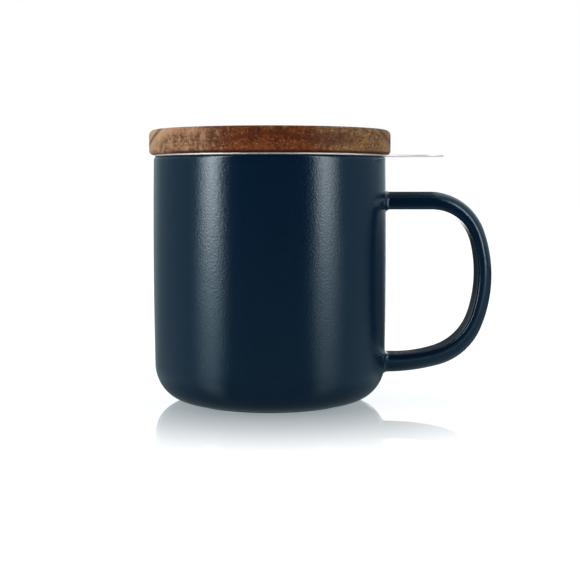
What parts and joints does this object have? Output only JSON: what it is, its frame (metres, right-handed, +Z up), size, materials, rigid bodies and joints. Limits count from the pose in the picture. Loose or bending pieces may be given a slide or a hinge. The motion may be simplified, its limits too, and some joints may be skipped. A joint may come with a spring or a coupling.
{
  "type": "lidded tea mug with infuser",
  "caption": "Satin glazed ceramic tea mug with a loop handle, a lift-out steel basket infuser with a thumb tab, and a plug-in wooden lid with a silicone seal.",
  "frame": {"origin": "centre of the foot ring, on the surface the mug stands on, on the axis of the round body", "axes": "+Z up along the body's axis, +X towards the handle and the infuser's thumb tab, +Y to the back"},
  "size_m": [0.1266, 0.0886, 0.1],
  "materials": {
    "glaze": "satin blue-black glaze with a faint orange-peel texture",
    "collar_steel": "brushed stainless steel",
    "basket_steel": "fine brushed stainless steel sheet, slotted and drilled",
    "lid_wood": "oiled acacia with visible grain",
    "seal_silicone": "soft translucent grey silicone"
  },
  "bodies": {
    "mug": {"mug_body": "glaze", "mug_handle": "glaze"},
    "infuser": {"infuser_rim": "collar_steel", "infuser_wall": "basket_steel", "infuser_floor": "basket_steel"},
    "lid": {"lid_disc": "lid_wood", "lid_seal": "seal_silicone"}
  },
  "joints": [
    {"name": "infuser_lift", "type": "slide", "parent": "mug", "child": "infuser", "axis": [0, 0, 1], "range_m": [0, 0.08]},
    {"name": "lid_lift", "type": "slide", "parent": "infuser", "child": "lid", "axis": [0, 0, 1], "range_m": [0, 0.04]}
  ]
}
